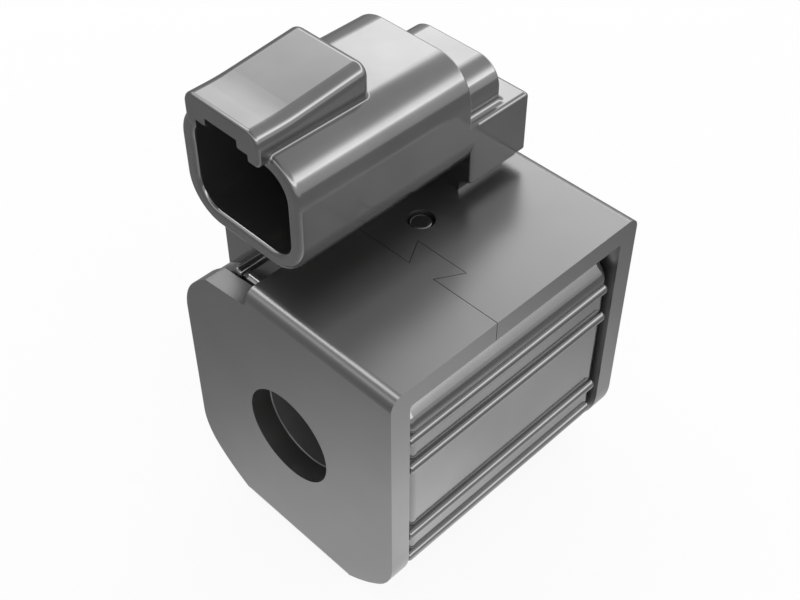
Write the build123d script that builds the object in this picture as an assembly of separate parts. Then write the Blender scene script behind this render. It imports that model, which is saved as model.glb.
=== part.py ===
from build123d import *
import math
import os

# Solenoid valve coil with a two-pin connector, in millimetres.
# The origin is on the bore axis, in the outer face of the front plate.
# +X is to the right as the front plate is seen, +Y runs to the rear plate, +Z is up.

# Bore and steel yoke
bore_diameter = 16.25
coil_length = 50.0
yoke_width = 42.8
yoke_top = 24.95
yoke_bottom = 24.95
strip_thickness = 3.45
bend_outer = 2.0
bend_inner = 0.6
plate_radius = 26.25
plate_corner_round = 9.8
ear_outer_x = 15.2
ear_outer_z = 21.1
ear_inner_z = 22.0
ear_round = 0.8
top_strip_left = 6.7
bottom_strip_width = 23.6

# Dovetail seam and locating hole in the top strip
seam_from_front = 19.7
seam_gap = 0.1
tab_depth = 4.05
tab_neck = 4.45
tab_end = 9.1
tab_centre_x = 7.4
locating_hole_diameter = 4.2
locating_hole_x = -0.1
locating_hole_y = 27.4
locating_peg_diameter = 3.5
locating_peg_recess = 0.4
locating_peg_round = 0.45
moulding_clearance = 0.05

# Moulded body round the winding
body_step = 0.35
body_side_step = 0.75
body_end_gap = 0.4
body_end_round = 1.7
body_corner_round = 3.0
strip_clearance = 0.1
rib_radius = 0.95
rib_from_flat_end = 2.3
rib_spacing = 5.62
rib_inner_lift = 0.05
rib_outer_sink = 0.2
rib_top_sink = 0.1
rib_top_inset = 1.4
rib_front_gap = 0.2
rib_rear_gap = 1.3
rib_end_round = 0.5

# Neck, block and foot that carry the connector
neck_front_gap = 4.5
neck_rear_cover = 1.55
neck_to_strip = 0.4
block_length = 11.9
block_rear_inset = 2.2
block_bottom = 27.3
block_top = 37.5
block_round = 0.5
block_top_round = 0.7
foot_rear_inset = 4.4
block_slope_x = 0.6
block_slope_z = 26.35
foot_right = 0.87
block_edge_round = 0.4
block_grip = 1.2

# Connector shell
shell_centre_x = -10.32
shell_centre_z = 38.12
shell_width = 23.62
shell_height = 19.22
shell_corner = 6.4
shell_wall = 2.55
mouth_y = 3.85
shell_to_block = 0.45
shell_rear_round = 0.3
socket_depth = 21.4
lip_outer_round = 0.9
lip_inner_round = 0.7
hump_left = 17.75
hump_right = 0.25
hump_top = 43.75
hump_bottom = 32.3
hump_corner = 4.0
hump_rear_inset = 6.8
hump_rear_round = 0.3
hump_foot_round = 0.95

# Latch hood over the shell
hood_centre_x = -10.8
hood_width = 14.4
hood_front = 2.2
hood_rear = 21.3
hood_level_top = 51.5
hood_level_end = 7.2
hood_rear_top = 52.9
hood_leg_bottom = 46.3
hood_leg_wall = 2.1
hood_step_width = 2.0
hood_step_ceiling = 47.65
hood_ceiling = 48.85
hood_rear_wall = 2.7
hood_side_round = 2.0
hood_ramp_round = 40.0
hood_front_round = 0.5
hood_leg_round = 0.8
hood_rear_round = 1.1
hood_foot_round = 0.35

# Bobbin, winding and wrap
tube_wall = 1.2
tube_end_gap = 0.08
tube_mouth_chamfer = 0.22
flange_diameter = 39.2
flange_thickness = 1.5
flange_cover = 1.0
winding_diameter = 36.0
wrap_thickness = 0.4

# Terminals, leads and joints
pin_diameter = 1.57
pin_shank_diameter = 2.0
pin_pitch = 5.1
pin_tip_y = 10.5
pin_tip_length = 1.2
pin_collar_diameter = 2.6
pin_collar_length = 1.0
spigot_diameter = 1.1
bar_to_winding_rear = 4.05
bar_thickness = 0.8
bar_width = 2.0
bar_top_margin = 1.5
bar_bottom = 16.7
bar_jog_high = 31.0
bar_jog_low = 28.6
start_leg_x = -9.4
finish_leg_x = -14.6
rest_cover = 0.6
rest_margin = 2.6
rest_top = 20.9
peg_diameter = 1.2
peg_height_z = 17.9
peg_head = 0.5
wire_diameter = 0.7
wire_z = 19.8
wire_bend = 1.6
wire_end = 0.7
lead_clearance = 0.05
start_groove_foot = 2.0
finish_lead_before_bar = 3.0
solder_diameter = 1.8
solder_length = 0.6

plate_inner_rear = coil_length - strip_thickness
half_width = yoke_width / 2
strip_underside = yoke_top - strip_thickness
strip_floor = yoke_bottom - strip_thickness
body_half_width = half_width - body_side_step
body_radius = plate_radius - body_step
body_front = strip_thickness + body_end_gap
body_rear = plate_inner_rear - body_end_gap
body_top = strip_underside - strip_clearance
body_bottom = strip_floor - strip_clearance
strip_left_x = -top_strip_left
neck_right = strip_left_x - neck_to_strip
neck_front = strip_thickness + neck_front_gap
neck_rear = body_rear - neck_rear_cover
block_rear = coil_length - block_rear_inset
block_front = block_rear - block_length
foot_rear = coil_length - foot_rear_inset
shell_rear = block_front - shell_to_block
hump_rear = coil_length - hump_rear_inset
shell_left_x = shell_centre_x - shell_width / 2
shell_right_x = shell_centre_x + shell_width / 2
shell_bottom = shell_centre_z - shell_height / 2
shell_top = shell_centre_z + shell_height / 2
socket_floor = mouth_y + socket_depth
hood_left_x = hood_centre_x - hood_width / 2
hood_right_x = hood_centre_x + hood_width / 2
tube_radius = bore_diameter / 2 + tube_wall
flange_front_y = body_front + flange_cover
flange_rear_y = body_rear - flange_cover
winding_front = flange_front_y + flange_thickness
winding_rear = flange_rear_y - flange_thickness
wrap_radius = winding_diameter / 2 + wrap_thickness
bar_front = winding_rear - bar_to_winding_rear
finish_lead_y = bar_front - finish_lead_before_bar
start_pin_x = shell_centre_x + pin_pitch / 2
finish_pin_x = shell_centre_x - pin_pitch / 2
bar_rear = bar_front + bar_thickness


def slab(x0, x1, y0, y1, z0, z1):
    """A box between two corners."""
    middle = ((x0 + x1) / 2, (y0 + y1) / 2, (z0 + z1) / 2)
    return Pos(*middle) * Box(x1 - x0, y1 - y0, z1 - z0)


def along_y(profile, y0, y1):
    """A profile drawn in X and Z, carried from y0 to y1."""
    plane = Plane(origin=(0, y1, 0), x_dir=(1, 0, 0), z_dir=(0, -1, 0))
    return extrude(plane * profile, amount=y1 - y0)


def along_x(profile, x0, x1):
    """A profile drawn in Y and Z, carried from x0 to x1."""
    plane = Plane(origin=(x0, 0, 0), x_dir=(0, 1, 0), z_dir=(1, 0, 0))
    return extrude(plane * profile, amount=x1 - x0)


def rod_y(x, z, radius, y0, y1):
    """A round bar that runs along Y."""
    return along_y(Pos(x, z) * Circle(radius), y0, y1)


def rounded_loop(y0, y1, z0, z1, radius):
    """A rounded rectangle in Y and Z, between two corners."""
    return Pos((y0 + y1) / 2, (z0 + z1) / 2) * RectangleRounded(y1 - y0, z1 - z0, radius)


def edges_near(solid, axis, test):
    """The straight edges along one axis whose centre passes the test."""
    return ShapeList([e for e in solid.edges().filter_by(axis) if test(e.center())])


def close(a, b, limit=0.02):
    return abs(a - b) < limit


def eased(outline, radius):
    """An outline whose outer corners are rounded by going in and out again."""
    return offset(offset(outline, amount=-radius), amount=radius)


def plate_outline():
    """The plates seen along the bore: a circle cut to the yoke's width, its corners eased."""
    disc = eased(Circle(plate_radius) & Rectangle(yoke_width, 2 * plate_radius), plate_corner_round)
    ear = make_face(Polyline(
        (-half_width - 1, 0), (strip_left_x, 0), (strip_left_x, ear_inner_z),
        (-ear_outer_x, ear_outer_z), (-half_width - 1, ear_outer_z),
        close=True,
    ))
    below = Pos(0, -plate_radius) * Rectangle(yoke_width + 2, 2 * plate_radius)
    return disc & (ear + below)


def front_outline():
    """The plates with the top strip, which reaches further right than left."""
    wide = half_width - strip_left_x
    strip = Pos(strip_left_x + wide / 2, yoke_top / 2 - 1) * Rectangle(wide, yoke_top + 2)
    outline = plate_outline() + strip
    inside = [v for v in outline.vertices() if close(v.X, strip_left_x) and close(v.Y, ear_inner_z)]
    return fillet(ShapeList(inside), ear_round)


def dovetail_seam():
    """The kerf where the two ends of the bent strip hook into each other."""
    reach = 2 * half_width
    tab_tip = seam_from_front + tab_depth
    front_end = make_face(Polyline(
        (-reach, seam_from_front),
        (tab_centre_x - tab_neck / 2, seam_from_front),
        (tab_centre_x - tab_end / 2, tab_tip),
        (tab_centre_x + tab_end / 2, tab_tip),
        (tab_centre_x + tab_neck / 2, seam_from_front),
        (reach, seam_from_front),
        (reach, -reach),
        (-reach, -reach),
        close=True,
    ))
    kerf = offset(front_end, amount=seam_gap, kind=Kind.INTERSECTION) - front_end
    window = Pos(0, seam_from_front + tab_depth / 2) * Rectangle(yoke_width + 2, 2 * tab_depth)
    plane = Plane.XY.offset(strip_underside - 1)
    return extrude(plane * (kerf & window), amount=strip_thickness + 2)


def make_yoke():
    """One steel strip bent into a box, closed by a dovetail on top."""
    outer = rounded_loop(0, coil_length, -yoke_bottom, yoke_top, bend_outer)
    inner = rounded_loop(strip_thickness, plate_inner_rear, -strip_floor, strip_underside, bend_inner)
    bent = along_x(outer - inner, -half_width, half_width)
    outline = front_outline()
    strip_wide = Pos(0, -yoke_bottom / 2) * Rectangle(bottom_strip_width, yoke_bottom)
    yoke = bent & along_y(outline + strip_wide, 0, coil_length)
    side = half_width + 1
    yoke -= slab(-side, strip_left_x, strip_thickness, plate_inner_rear, 0, yoke_top)
    for x0, x1 in ((-side, -bottom_strip_width / 2), (bottom_strip_width / 2, side)):
        yoke -= slab(x0, x1, strip_thickness, plate_inner_rear, -yoke_bottom - 1, 0)
        corner = slab(x0, x1, -1, coil_length + 1, -yoke_bottom, 0)
        for y0, y1 in ((0, strip_thickness), (plate_inner_rear, coil_length)):
            yoke += along_y(outline, y0, y1) & corner
    yoke -= rod_y(0, 0, bore_diameter / 2, -1, coil_length + 1)
    peg_hole = Cylinder(locating_hole_diameter / 2, 3 * strip_thickness)
    yoke -= Pos(locating_hole_x, locating_hole_y, yoke_top) * peg_hole
    return yoke - dovetail_seam()


def body_section():
    """The moulded body seen along the bore: a cylinder with flats, their meeting lines eased."""
    tall = Pos(0, (body_top - body_bottom) / 2) * Rectangle(2 * body_half_width, body_top + body_bottom)
    return eased(Circle(body_radius) & tall, body_corner_round)


def make_ribs():
    """Half-round ribs along the side flats, and one on the top flat near its left end."""
    top_rib_x = rib_top_inset - math.sqrt(body_radius ** 2 - body_top ** 2)
    seats = [(top_rib_x, body_top - rib_top_sink)]
    outer_z = math.sqrt(body_radius ** 2 - body_half_width ** 2) - rib_from_flat_end
    inner_z = outer_z - rib_spacing
    for side in (-1, 1):
        for z in (-inner_z, inner_z):
            seats.append((side * (body_half_width + rib_inner_lift), z))
        for z in (-outer_z, outer_z):
            seats.append((side * (body_half_width - rib_outer_sink), z))
    y0 = strip_thickness + rib_front_gap
    y1 = plate_inner_rear - rib_rear_gap
    ribs = []
    for x, z in seats:
        rib = rod_y(x, z, rib_radius, y0, y1)
        ribs.append(fillet(rib.edges().filter_by(GeomType.CIRCLE), rib_end_round))
    return ribs


def make_body():
    """The moulded body with its ribs and the rounded ends that stop short of the plates."""
    body = along_y(body_section(), body_front, body_rear)
    ends = [e for e in body.edges() if close(e.center().Y, body_front) or close(e.center().Y, body_rear)]
    body = fillet(ShapeList(ends), body_end_round)
    for rib in make_ribs():
        body += rib
    return body


def make_block():
    """The block behind the shell, with an underside that slopes to the foot on the strip."""
    section = make_face(Polyline(
        (shell_left_x, block_bottom), (neck_right, block_bottom), (neck_right, yoke_top),
        (-foot_right, yoke_top), (-block_slope_x, block_slope_z), (shell_right_x, block_bottom),
        (shell_right_x, block_top), (shell_left_x, block_top),
        close=True,
    ))
    block = along_y(section, block_front, foot_rear)
    block += slab(shell_left_x, shell_right_x, foot_rear - 2, block_rear, block_bottom, block_top)
    outer = edges_near(block, Axis.Z, lambda c: c.Z > block_bottom and (
        close(c.X, shell_left_x) or close(c.X, shell_right_x)))
    block = fillet(outer, block_round)
    rims = ShapeList([e for e in block.edges() if close(e.center().Z, block_top)])
    block = fillet(rims, block_top_round)
    low = edges_near(block, Axis.Y, lambda c: close(c.Z, block_bottom) and close(c.X, shell_right_x))
    block = fillet(low, block_edge_round)
    block += hump()
    feet = [e for e in block.edges() if close(e.center().Z, block_top) and e.center().Y < hump_rear + 0.1
            and -hump_left - 0.1 < e.center().X < 0.1 - hump_right and e.center().Y > block_front + 0.1]
    return fillet(ShapeList(feet), hump_foot_round)


def make_encapsulation(inner_parts, housing):
    """Body, neck, block, foot and locating peg in one overmoulding."""
    neck = slab(-body_half_width, neck_right, neck_front, neck_rear, 0, shell_centre_z)
    neck -= slab(shell_left_x, 0, shell_rear, neck_rear + 1, block_bottom + 1, shell_centre_z + 1)
    peg_height = yoke_top - locating_peg_recess - body_top + 1
    peg = Cylinder(locating_peg_diameter / 2, peg_height, align=(Align.CENTER, Align.CENTER, Align.MIN))
    peg = fillet(peg.edges().filter_by(GeomType.CIRCLE).sort_by(Axis.Z)[-1], locating_peg_round)
    moulding = make_body() + neck + make_block()
    moulding += Pos(locating_hole_x, locating_hole_y, body_top - 1) * peg
    moulding -= rod_y(0, 0, tube_radius, 0, coil_length)
    for part in inner_parts:
        moulding -= part
    moulding -= slab(shell_left_x - 1, shell_right_x + 1, 0, shell_rear, shell_centre_z - 1, 2 * shell_top)
    return moulding - housing_outside() - housing


def housing_outside():
    """Everything that the shell fills, the socket included, and its root in the block."""
    outline = RectangleRounded(shell_width, shell_height, shell_corner)
    outline = Pos(shell_centre_x, shell_centre_z) * outline
    low = Pos(shell_centre_x, block_top - shell_height) * Rectangle(shell_width, 2 * shell_height)
    shell = along_y(outline, mouth_y, shell_rear)
    shell += along_y(outline & low, mouth_y + shell_height, block_front + block_grip)
    rear = [e for e in shell.edges() if close(e.center().Y, shell_rear) and e.center().Z > block_top + 0.1]
    return fillet(ShapeList(rear), shell_rear_round)


def make_hood():
    """The latch hood: level at the mouth, then a ramp up to the rear."""
    side = make_face(Polyline(
        (hood_front, hood_leg_bottom),
        (hood_front, hood_level_top),
        (hood_level_end, hood_level_top),
        (hood_rear, hood_rear_top),
        (hood_rear, hood_leg_bottom),
        close=True,
    ))
    side = fillet([v for v in side.vertices() if close(v.X, hood_level_end)], hood_ramp_round)
    hood = along_x(side, hood_left_x, hood_right_x)
    low = edges_near(hood, Axis.Y, lambda c: close(c.Z, hood_leg_bottom))
    hood = fillet(low, hood_leg_round)
    tops = [e for e in hood.edges() if e.center().Z > hood_level_top - 0.1
            and hood_front + 0.1 < e.center().Y < hood_rear - 0.1
            and abs(e.center().X - hood_centre_x) > hood_width / 2 - 0.1]
    hood = fillet(ShapeList(tops), hood_side_round)
    rim = [e for e in hood.edges() if close(e.center().Y, hood_front)]
    hood = fillet(ShapeList(rim), hood_front_round)
    back = edges_near(hood, Axis.Z, lambda c: close(c.Y, hood_rear))
    return fillet(back, hood_rear_round)


def hood_foot_edges(shell):
    """Where the hood's sides and rear come down on the shell."""
    found = []
    for edge in shell.edges():
        c = edge.center()
        side = close(c.X, hood_left_x) or close(c.X, hood_right_x)
        behind_lip = c.Y > mouth_y + hood_front_round
        rear = hood_rear - c.Y < hood_rear_round
        if hood_leg_bottom < c.Z < shell_top + 0.1 and (side and behind_lip or rear):
            found.append(edge)
    return ShapeList(found)


def latch_slot():
    """The stepped space under the hood, open to the mouth and to the socket."""
    half = hood_width / 2 - hood_leg_wall
    low = shell_centre_z
    rear = hood_rear - hood_rear_wall
    wide = slab(hood_centre_x - half, hood_centre_x + half, hood_front - 1, rear, low, hood_step_ceiling)
    inner = half - hood_step_width
    tall = slab(hood_centre_x - inner, hood_centre_x + inner, hood_front - 1, rear, low, hood_ceiling)
    return wide + tall


def hump():
    """The lower rear part of the housing, over the block."""
    wide = hump_left - hump_right
    tall = hump_top - hump_bottom
    middle = Pos(-(hump_left + hump_right) / 2, hump_bottom + tall / 2)
    outline = middle * RectangleRounded(wide, tall, hump_corner)
    solid = along_y(outline, socket_floor + 1, hump_rear)
    rear = [e for e in solid.edges() if close(e.center().Y, hump_rear)]
    return fillet(ShapeList(rear), hump_rear_round)


def make_connector_housing(bars, pins):
    """Shell, latch hood and the narrower rear that the block grips."""
    shell = housing_outside()
    front = [e for e in shell.edges() if close(e.center().Y, mouth_y)]
    shell = fillet(ShapeList(front), lip_outer_round)
    cavity = RectangleRounded(shell_width - 2 * shell_wall, shell_height - 2 * shell_wall,
                              shell_corner - shell_wall)
    cavity = along_y(Pos(shell_centre_x, shell_centre_z) * cavity, mouth_y - 1, socket_floor)
    shell -= cavity
    rim = [e for e in shell.edges() if close(e.center().Y, mouth_y)]
    shell = fillet(ShapeList(rim), lip_inner_round)
    shell += make_hood()
    shell = fillet(hood_foot_edges(shell), hood_foot_round)
    shell -= cavity
    shell -= latch_slot()
    shell += hump()
    for part in bars + pins:
        shell -= part
    return shell


def make_bobbin():
    """Core tube with two flanges, a lead groove and the rest that the bars are staked to."""
    tube = rod_y(0, 0, tube_radius, strip_thickness + tube_end_gap, plate_inner_rear - tube_end_gap)
    flange = flange_diameter / 2
    bobbin = tube + rod_y(0, 0, flange, flange_front_y, winding_front)
    bobbin += rod_y(0, 0, flange, winding_rear, flange_rear_y)
    left = finish_leg_x - rest_margin
    right = start_leg_x + rest_margin / 2
    rest = slab(left, right, bar_rear, neck_rear - rest_cover, 0, rest_top)
    bobbin += rest - rod_y(0, 0, wrap_radius + moulding_clearance, 0, winding_rear)
    groove = wire_diameter / 2 + lead_clearance
    bobbin -= slab(start_leg_x - groove, start_leg_x + groove, winding_rear - 1,
                   winding_rear + 2 * groove, start_groove_foot - groove, wire_z)
    bobbin -= slab(start_leg_x - groove, start_leg_x + groove, bar_rear - 1,
                   winding_rear + 2 * groove, wire_z - groove, rest_top + 1)
    for x in (start_leg_x, finish_leg_x):
        bobbin += rod_y(x, peg_height_z, peg_diameter / 2, bar_front, bar_rear)
        head = rod_y(x, peg_height_z, peg_diameter * 0.75, bar_front - peg_head, bar_front)
        bobbin += fillet(head.edges().filter_by(GeomType.CIRCLE).sort_by(Axis.Y)[0], peg_head * 0.6)
    bobbin -= rod_y(0, 0, bore_diameter / 2, 0, coil_length)
    mouths = [e for e in bobbin.edges().filter_by(GeomType.CIRCLE) if close(e.radius, bore_diameter / 2)]
    return chamfer(ShapeList(mouths), tube_mouth_chamfer)


def make_winding():
    """The enamelled wire, wound between the flanges."""
    ring = Circle(winding_diameter / 2) - Circle(tube_radius)
    return along_y(ring, winding_front, winding_rear)


def make_wrap(finish_lead):
    """The tape round the winding, pierced where the finish lead comes through."""
    ring = Circle(wrap_radius) - Circle(winding_diameter / 2)
    return along_y(ring, winding_front, winding_rear) - finish_lead


def make_bar(pin_x, leg_x):
    """A stamped bar from the rear of a pin down to its magnet wire."""
    half = bar_width / 2
    top = shell_centre_z + bar_top_margin
    outline = make_face(Polyline(
        (pin_x - half, top), (pin_x + half, top), (pin_x + half, bar_jog_high),
        (leg_x + half, bar_jog_low), (leg_x + half, bar_bottom), (leg_x - half, bar_bottom),
        (leg_x - half, bar_jog_low), (pin_x - half, bar_jog_high),
        close=True,
    ))
    bar = along_y(outline, bar_front, bar_rear)
    bar -= rod_y(pin_x, shell_centre_z, spigot_diameter / 2, bar_front - 1, bar_rear + 1)
    bar -= rod_y(leg_x, peg_height_z, peg_diameter / 2, bar_front - 1, bar_rear + 1)
    bar -= rod_y(leg_x, wire_z, wire_diameter / 2, bar_front - 1, bar_rear + 1)
    return bar


def make_pin(pin_x):
    """A round contact pin with a bullet nose, a collar and a riveted spigot."""
    radius = pin_diameter / 2
    shank = pin_shank_diameter / 2
    nose = radius * 0.4
    profile = make_face(Polyline(
        (0, pin_tip_y), (nose, pin_tip_y), (radius, pin_tip_y + pin_tip_length),
        (radius, socket_floor), (shank, socket_floor), (shank, bar_front - pin_collar_length),
        (pin_collar_diameter / 2, bar_front - pin_collar_length),
        (pin_collar_diameter / 2, bar_front), (spigot_diameter / 2, bar_front),
        (spigot_diameter / 2, bar_rear), (0, bar_rear),
        close=True,
    ))
    return Pos(pin_x, 0, shell_centre_z) * revolve(profile, Axis.Y)


def make_wire(points):
    """Magnet wire along straight runs with one bend."""
    path = FilletPolyline(*points, radius=wire_bend)
    start = Plane(origin=path @ 0, z_dir=path % 0)
    return sweep(start * Circle(wire_diameter / 2), path=path)


def make_start_lead():
    """From the tube, up the flange groove, over the rest and through the start bar."""
    groove = wire_diameter / 2 + lead_clearance
    y = winding_rear + groove
    return make_wire([
        (start_leg_x, y, start_groove_foot),
        (start_leg_x, y, wire_z),
        (start_leg_x, bar_front - wire_end, wire_z),
    ])


def make_finish_lead():
    """From the last layer of the winding, up and back through the finish bar."""
    lead = make_wire([
        (finish_leg_x, finish_lead_y, 0),
        (finish_leg_x, finish_lead_y, wire_z),
        (finish_leg_x, bar_rear, wire_z),
    ])
    return lead - rod_y(0, 0, winding_diameter / 2, winding_front, winding_rear)


def make_solder(leg_x, lead):
    """The solder cone round the wire, on the front face of a bar."""
    cone = Solid.make_cone(solder_diameter / 2, wire_diameter / 2 + 0.1, solder_length,
                           Plane(origin=(leg_x, bar_front, wire_z), z_dir=(0, -1, 0)))
    return Part() + cone - lead


def build_parts():
    start_lead = make_start_lead()
    finish_lead = make_finish_lead()
    bars = [make_bar(start_pin_x, start_leg_x), make_bar(finish_pin_x, finish_leg_x)]
    pins = [make_pin(start_pin_x), make_pin(finish_pin_x)]
    solders = [make_solder(start_leg_x, start_lead), make_solder(finish_leg_x, finish_lead)]
    yoke = make_yoke()
    bobbin = make_bobbin()
    winding = make_winding()
    wrap = make_wrap(finish_lead)
    housing = make_connector_housing(bars, pins)
    inner = [bobbin, winding, wrap, start_lead, finish_lead] + bars + pins + solders
    return {
        "yoke": yoke,
        "encapsulation": make_encapsulation(inner, housing),
        "connector_housing": housing,
        "bobbin": bobbin,
        "winding": winding,
        "winding_wrap": wrap,
        "start_lead": start_lead,
        "finish_lead": finish_lead,
        "start_bar": bars[0],
        "finish_bar": bars[1],
        "start_pin": pins[0],
        "finish_pin": pins[1],
        "start_solder": solders[0],
        "finish_solder": solders[1],
    }


os.makedirs("parts", exist_ok=True)
for node, solid in build_parts().items():
    export_step(solid, f"parts/{node}.step")
    print(node, len(solid.solids()), round(solid.volume, 1))
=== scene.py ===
import math

import bpy
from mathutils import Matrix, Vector


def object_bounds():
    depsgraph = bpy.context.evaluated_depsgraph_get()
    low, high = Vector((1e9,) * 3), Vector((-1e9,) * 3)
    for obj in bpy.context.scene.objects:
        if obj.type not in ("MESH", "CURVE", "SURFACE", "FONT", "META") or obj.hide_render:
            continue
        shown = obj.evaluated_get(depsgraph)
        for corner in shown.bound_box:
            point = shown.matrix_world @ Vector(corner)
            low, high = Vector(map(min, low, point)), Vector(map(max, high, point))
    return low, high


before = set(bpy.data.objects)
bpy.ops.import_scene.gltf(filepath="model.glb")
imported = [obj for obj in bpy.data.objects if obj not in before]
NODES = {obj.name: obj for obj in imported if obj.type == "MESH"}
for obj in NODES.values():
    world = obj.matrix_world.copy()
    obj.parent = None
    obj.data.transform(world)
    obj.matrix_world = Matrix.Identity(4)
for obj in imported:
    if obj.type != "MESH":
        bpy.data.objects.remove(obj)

# Solenoid valve coil with a connector on top: finishes, studio and camera.
# Lengths are in metres; MM turns a size in millimetres into metres.

MM = 0.001
CAD_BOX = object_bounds()

# Camera, found from the photograph's vanishing points
CAMERA_PLACE = (95.54 * MM, -72.53 * MM, 146.91 * MM)
CAMERA_TURN = (math.radians(45), 0, math.radians(45))
CAMERA_LENS = 57.97
SENSOR_WIDTH = 36.0
CLIP_START = 5 * MM

# The backdrop, and the floor as the camera sees it
WHITE = "ffffff"
FLOOR_PAINT = "f7f7f7"
FLOOR_SIZE = 4.0
# This share of the floor's look is its own glow; the rest is lit paint, which keeps the shadow
FLOOR_GLOW_SHARE = 0.9

# The floor in reflections: a pool of light, from its middle out to its reach, and dim beyond
POOL_MIDDLE = (30 * MM, 14 * MM, 0)
POOL_REACH = 150 * MM
POOL_LEVEL = 1.45
FLOOR_POOL = [(0.0, "ffffff"), (0.08, "e6e6e6"), (0.13, "d5d5d5"), (0.18, "cacaca"), (0.23, "c8c8c8"),
              (0.28, "c1c1c1"), (0.33, "b3b3b3"), (0.38, "a1a1a1"), (0.43, "919191"), (0.48, "878787"),
              (0.55, "7c7c7c"), (0.65, "737373"), (1.0, "6d6d6d")]

# The room that the part mirrors, by the height of a direction, 0 at the horizon and 1 overhead:
# grey walls, a band of light and a dim ceiling
ROOM_BAND = [(0.0, "7a7a7a"), (0.12, "828282"), (0.22, "878787"), (0.34, "8a8a8a"), (0.39, "979797"),
             (0.43, "acacac"), (0.455, "f1f1f1"), (0.475, "ffffff"), (0.5, "f5f5f5"), (0.53, "e6e6e6"),
             (0.57, "e4e4e4"), (0.6, "dbdbdb"), (0.65, "b9b9b9"), (0.69, "999999"), (0.74, "808080"),
             (0.85, "757575"), (1.0, "737373")]
ROOM_LEVEL = 3.4
# The band leans: it is lower towards +X and higher towards -X, by this much of a direction's X
BAND_TILT = 0.07
# Towards the lit side the room has its full level, and on the other side the dim share of it.
# It fades between these two values of a direction's reach to the lit side.
LIT_SIDE = (0.7, 0.7, 0.0)
FADE_START = 0.0
FADE_END = -0.30
DIM_SHARE = 0.45


def linear(code):
    """An sRGB hex colour as linear red, green, blue and alpha."""
    channels = []
    for i in (0, 2, 4):
        value = int(code[i:i + 2], 16) / 255
        channels.append(value / 12.92 if value <= 0.04045 else ((value + 0.055) / 1.055) ** 2.4)
    return (*channels, 1.0)


def add_node(tree, kind, inputs=None, **settings):
    """Adds a node, sets its properties, and fills or links its inputs."""
    node = tree.nodes.new(kind)
    for name, value in settings.items():
        setattr(node, name, value)
    for name, value in (inputs or {}).items():
        if isinstance(value, bpy.types.NodeSocket):
            tree.links.new(value, node.inputs[name])
        else:
            node.inputs[name].default_value = value
    return node


def new_tree(name):
    """An empty material node tree, with its material."""
    material = bpy.data.materials.new(name)
    material.use_nodes = True
    material.node_tree.nodes.clear()
    return material, material.node_tree


def finish_surface(tree, shader):
    """Joins a shader to a material output."""
    add_node(tree, "ShaderNodeOutputMaterial", {"Surface": shader.outputs[0]})


def ray_kinds(tree, kinds):
    """A socket that is 1 for light rays of the named kinds and 0 for the others."""
    rays = add_node(tree, "ShaderNodeLightPath")
    chosen = rays.outputs[kinds[0]]
    for kind in kinds[1:]:
        either = add_node(tree, "ShaderNodeMath", {0: chosen, 1: rays.outputs[kind]}, operation="MAXIMUM")
        chosen = either.outputs[0]
    return chosen


def ramp(tree, factor, stops):
    """A colour ramp over a factor; stops are (position, hex colour)."""
    node = add_node(tree, "ShaderNodeValToRGB", {"Fac": factor})
    elements = node.color_ramp.elements
    while len(elements) < len(stops):
        elements.new(0.5)
    for element, (position, code) in zip(elements, stops):
        element.position = position
        element.color = linear(code)
    return node


def zinc_plated_steel():
    """Rolled strip steel with satin zinc plate: fine streaks along the strip, a soft blurred mirror."""
    grain_width = 0.35 * MM
    grain_stretch = 0.08  # a streak is about 12 times as long as it is wide
    cloud_size = 14 * MM
    streak_depth = 0.02 * MM
    material, tree = new_tree("zinc_plated_steel")
    place = add_node(tree, "ShaderNodeTexCoord")
    stretch = add_node(tree, "ShaderNodeMapping", {
        "Vector": place.outputs["Object"],
        "Scale": (1.0, grain_stretch, grain_stretch),
    })
    streaks = add_node(tree, "ShaderNodeTexNoise", {
        "Vector": stretch.outputs["Vector"],
        "Scale": 1 / grain_width,
        "Detail": 3.0,
    })
    clouds = add_node(tree, "ShaderNodeTexNoise", {
        "Vector": place.outputs["Object"],
        "Scale": 1 / cloud_size,
        "Detail": 2.0,
    })
    colour = ramp(tree, clouds.outputs["Fac"], [(0.3, "888888"), (0.7, "8d8d8d")])
    roughness = add_node(tree, "ShaderNodeMapRange", {
        "Value": streaks.outputs["Fac"],
        "To Min": 0.27,
        "To Max": 0.31,
    })
    relief = add_node(tree, "ShaderNodeBump", {
        "Height": streaks.outputs["Fac"],
        "Strength": 0.04,
        "Distance": streak_depth,
    })
    shader = add_node(tree, "ShaderNodeBsdfPrincipled", {
        "Base Color": colour.outputs["Color"],
        "Metallic": 0.92,
        "Roughness": roughness.outputs["Result"],
        "Normal": relief.outputs["Normal"],
    })
    finish_surface(tree, shader)
    return material


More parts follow.
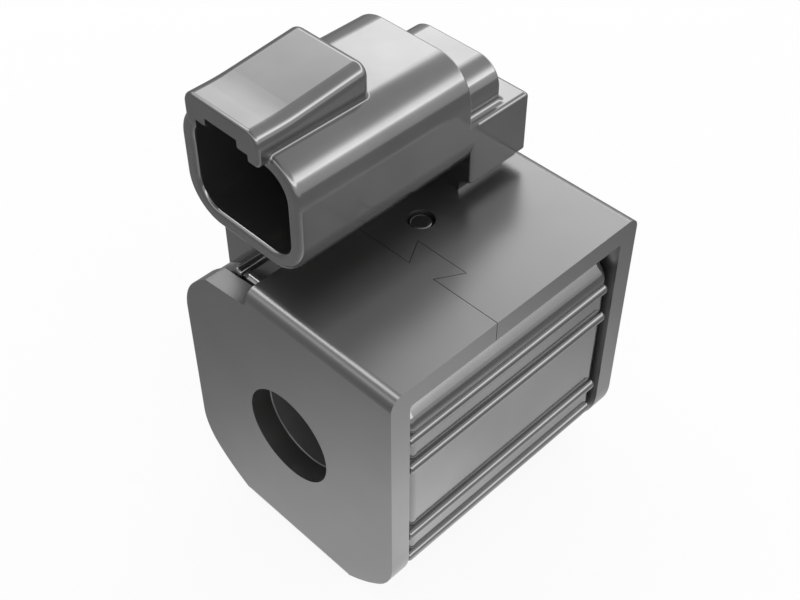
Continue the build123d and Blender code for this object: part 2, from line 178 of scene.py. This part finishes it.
def moulded_nylon(name, dark, light, smooth, rough, metal):
    """Moulded nylon with a metallic grey coat: fine mould texture, faint flow marks and a satin shine.

    dark and light are its greys, smooth and rough its roughness, metal the share of the coat.
    """
    pore_size = 0.25 * MM
    pore_depth = 0.02 * MM
    flow_size = 9 * MM
    material, tree = new_tree(name)
    place = add_node(tree, "ShaderNodeTexCoord")
    flow = add_node(tree, "ShaderNodeTexNoise", {
        "Vector": place.outputs["Object"],
        "Scale": 1 / flow_size,
        "Detail": 3.0,
    })
    pores = add_node(tree, "ShaderNodeTexNoise", {
        "Vector": place.outputs["Object"],
        "Scale": 1 / pore_size,
        "Detail": 2.0,
    })
    colour = ramp(tree, flow.outputs["Fac"], [(0.3, dark), (0.7, light)])
    roughness = add_node(tree, "ShaderNodeMapRange", {
        "Value": pores.outputs["Fac"],
        "To Min": smooth,
        "To Max": rough,
    })
    relief = add_node(tree, "ShaderNodeBump", {
        "Height": pores.outputs["Fac"],
        "Strength": 0.03,
        "Distance": pore_depth,
    })
    shader = add_node(tree, "ShaderNodeBsdfPrincipled", {
        "Base Color": colour.outputs["Color"],
        "Metallic": metal,
        "Roughness": roughness.outputs["Result"],
        "Normal": relief.outputs["Normal"],
    })
    finish_surface(tree, shader)
    return material


def enamelled_copper():
    """Round magnet wire under clear enamel: turns side by side across the coil, each one a soft ridge,
    with painted shade in the grooves between turns.
    """
    wire_pitch = 0.7 * MM
    ridge_height = 0.2 * MM
    wave_scale = math.pi / (10 * wire_pitch)  # at a scale of 1 the wave repeats every pi / 10
    material, tree = new_tree("enamelled_copper_wire")
    place = add_node(tree, "ShaderNodeTexCoord")
    turns = add_node(tree, "ShaderNodeTexWave", {
        "Vector": place.outputs["Object"],
        "Scale": wave_scale,
        "Distortion": 0.2,
    }, bands_direction="Y", wave_profile="SIN")
    # Painted shade: the copper is darker in the grooves between turns and lighter on their crests,
    # following the ridges' wave
    colour = ramp(tree, turns.outputs["Fac"], [(0.0, "7a3418"), (0.7, "c4713f")])
    relief = add_node(tree, "ShaderNodeBump", {
        "Height": turns.outputs["Fac"],
        "Strength": 0.6,
        "Distance": ridge_height,
    })
    shader = add_node(tree, "ShaderNodeBsdfPrincipled", {
        "Base Color": colour.outputs["Color"],
        "Metallic": 0.9,
        "Roughness": 0.28,
        "Coat Weight": 0.6,
        "Coat Roughness": 0.1,
        "Normal": relief.outputs["Normal"],
    })
    finish_surface(tree, shader)
    return material


def polyester_tape():
    """Amber polyester film tape: smooth and softly shining, with faint wrinkles."""
    wrinkle_size = 3 * MM
    wrinkle_height = 0.1 * MM
    material, tree = new_tree("polyester_film_tape")
    place = add_node(tree, "ShaderNodeTexCoord")
    wrinkles = add_node(tree, "ShaderNodeTexNoise", {
        "Vector": place.outputs["Object"],
        "Scale": 1 / wrinkle_size,
        "Detail": 2.0,
    })
    colour = ramp(tree, wrinkles.outputs["Fac"], [(0.3, "a8761c"), (0.7, "c79434")])
    relief = add_node(tree, "ShaderNodeBump", {
        "Height": wrinkles.outputs["Fac"],
        "Strength": 0.2,
        "Distance": wrinkle_height,
    })
    shader = add_node(tree, "ShaderNodeBsdfPrincipled", {
        "Base Color": colour.outputs["Color"],
        "Roughness": 0.3,
        "Normal": relief.outputs["Normal"],
    })
    finish_surface(tree, shader)
    return material


def contact_metal(name, dark, light, roughness):
    """Metal of the bars, pins and solder: smooth and bright, with fine tool marks."""
    mark_size = 0.2 * MM
    mark_depth = 0.02 * MM
    material, tree = new_tree(name)
    place = add_node(tree, "ShaderNodeTexCoord")
    marks = add_node(tree, "ShaderNodeTexNoise", {
        "Vector": place.outputs["Object"],
        "Scale": 1 / mark_size,
        "Detail": 2.0,
    })
    colour = ramp(tree, marks.outputs["Fac"], [(0.3, dark), (0.7, light)])
    relief = add_node(tree, "ShaderNodeBump", {
        "Height": marks.outputs["Fac"],
        "Strength": 0.1,
        "Distance": mark_depth,
    })
    shader = add_node(tree, "ShaderNodeBsdfPrincipled", {
        "Base Color": colour.outputs["Color"],
        "Metallic": 1.0,
        "Roughness": roughness,
        "Normal": relief.outputs["Normal"],
    })
    finish_surface(tree, shader)
    return material


def dress():
    """Gives every CAD node its finish."""
    steel = zinc_plated_steel()
    body = moulded_nylon("moulded_nylon_body", "868686", "8c8c8c",
                         smooth=0.12, rough=0.15, metal=0.92)
    shell = moulded_nylon("moulded_nylon_connector", "888888", "8f8f8f",
                          smooth=0.12, rough=0.15, metal=0.92)
    core = moulded_nylon("moulded_nylon_bobbin", "868686", "8e8e8e",
                         smooth=0.28, rough=0.36, metal=0.7)
    wire = enamelled_copper()
    bar = contact_metal("tinned_brass", "a89a7c", "c9bc9c", roughness=0.32)
    pin = contact_metal("nickel_plated_brass", "a9a69f", "c6c3bb", roughness=0.2)
    solder = contact_metal("tin_solder", "9c9c9f", "bcbcc0", roughness=0.35)
    finishes = {
        "yoke": steel,
        "encapsulation": body,
        "connector_housing": shell,
        "bobbin": core,
        "winding": wire,
        "winding_wrap": polyester_tape(),
        "start_lead": wire,
        "finish_lead": wire,
        "start_bar": bar,
        "finish_bar": bar,
        "start_pin": pin,
        "finish_pin": pin,
        "start_solder": solder,
        "finish_solder": solder,
    }
    for name, material in finishes.items():
        node = NODES[name]
        node.data.materials.clear()
        node.data.materials.append(material)


def make_floor():
    """A pale floor: white to the camera, and in the part's reflections a pool of light."""
    bpy.ops.mesh.primitive_plane_add(size=FLOOR_SIZE, location=(0, 0, CAD_BOX[0].z))
    floor = bpy.context.object
    floor.name = "studio_floor"
    material, tree = new_tree("white_floor")
    place = add_node(tree, "ShaderNodeTexCoord")
    distance = add_node(tree, "ShaderNodeVectorMath", {
        0: place.outputs["Object"],
        1: POOL_MIDDLE,
    }, operation="DISTANCE")
    outward = add_node(tree, "ShaderNodeMath", {
        0: distance.outputs["Value"],
        1: POOL_REACH,
    }, operation="DIVIDE")
    pool = ramp(tree, outward.outputs[0], FLOOR_POOL)
    lit = add_node(tree, "ShaderNodeEmission", {"Color": pool.outputs["Color"], "Strength": POOL_LEVEL})
    white = add_node(tree, "ShaderNodeEmission", {"Color": linear(WHITE), "Strength": 1.0})
    glow = add_node(tree, "ShaderNodeMixShader", {
        0: ray_kinds(tree, ["Is Camera Ray"]),
        1: lit.outputs[0],
        2: white.outputs[0],
    })
    seen = ray_kinds(tree, ["Is Camera Ray", "Is Glossy Ray", "Is Transmission Ray"])
    share = add_node(tree, "ShaderNodeMath", {0: seen, 1: FLOOR_GLOW_SHARE}, operation="MULTIPLY")
    paint = add_node(tree, "ShaderNodeBsdfDiffuse", {"Color": linear(FLOOR_PAINT)})
    mix = add_node(tree, "ShaderNodeMixShader", {
        0: share.outputs[0],
        1: paint.outputs[0],
        2: glow.outputs[0],
    })
    finish_surface(tree, mix)
    floor.data.materials.append(material)


def make_world():
    """White to the camera; for the part to mirror, a grey room with a band of light."""
    world = bpy.data.worlds.new("studio")
    bpy.context.scene.world = world
    world.use_nodes = True
    tree = world.node_tree
    tree.nodes.clear()
    place = add_node(tree, "ShaderNodeTexCoord")
    height = add_node(tree, "ShaderNodeVectorMath", {
        0: place.outputs["Generated"],
        1: (BAND_TILT, 0.0, 1.0),
    }, operation="DOT_PRODUCT")
    band = ramp(tree, height.outputs["Value"], ROOM_BAND)
    side = add_node(tree, "ShaderNodeVectorMath", {
        0: place.outputs["Generated"],
        1: LIT_SIDE,
    }, operation="DOT_PRODUCT")
    level = add_node(tree, "ShaderNodeMapRange", {
        "Value": side.outputs["Value"],
        "From Min": FADE_END,
        "From Max": FADE_START,
        "To Min": DIM_SHARE * ROOM_LEVEL,
        "To Max": ROOM_LEVEL,
    })
    room = add_node(tree, "ShaderNodeBackground", {
        "Color": band.outputs["Color"],
        "Strength": level.outputs["Result"],
    })
    backdrop = add_node(tree, "ShaderNodeBackground", {"Color": linear(WHITE), "Strength": 1.0})
    mix = add_node(tree, "ShaderNodeMixShader", {
        0: ray_kinds(tree, ["Is Camera Ray", "Is Transmission Ray"]),
        1: room.outputs[0],
        2: backdrop.outputs[0],
    })
    add_node(tree, "ShaderNodeOutputWorld", {"Surface": mix.outputs[0]})


def add_softbox(name, direction, distance, size, power):
    """A square area lamp that looks at the part from a direction; power is in watts."""
    centre = (CAD_BOX[0] + CAD_BOX[1]) / 2
    lamp = bpy.data.lights.new(name, "AREA")
    lamp.size = size
    lamp.energy = power
    box = bpy.data.objects.new(name, lamp)
    bpy.context.scene.collection.objects.link(box)
    away = Vector(direction).normalized()
    box.location = centre + away * distance
    box.rotation_mode = "QUATERNION"
    box.rotation_quaternion = away.to_track_quat("Z", "Y")


def make_camera():
    """The photograph's camera."""
    data = bpy.data.cameras.new("photo_camera")
    data.lens = CAMERA_LENS
    data.sensor_width = SENSOR_WIDTH
    camera = bpy.data.objects.new("photo_camera", data)
    bpy.context.scene.collection.objects.link(camera)
    camera.location = CAMERA_PLACE
    camera.rotation_euler = CAMERA_TURN
    data.clip_start = CLIP_START
    bpy.context.scene.camera = camera


dress()
make_floor()
make_world()
add_softbox("front_softbox", direction=(-0.52, -0.09, 0.85), distance=0.6, size=0.2, power=0.42)
make_camera()
bpy.context.scene.view_settings.view_transform = "Standard"
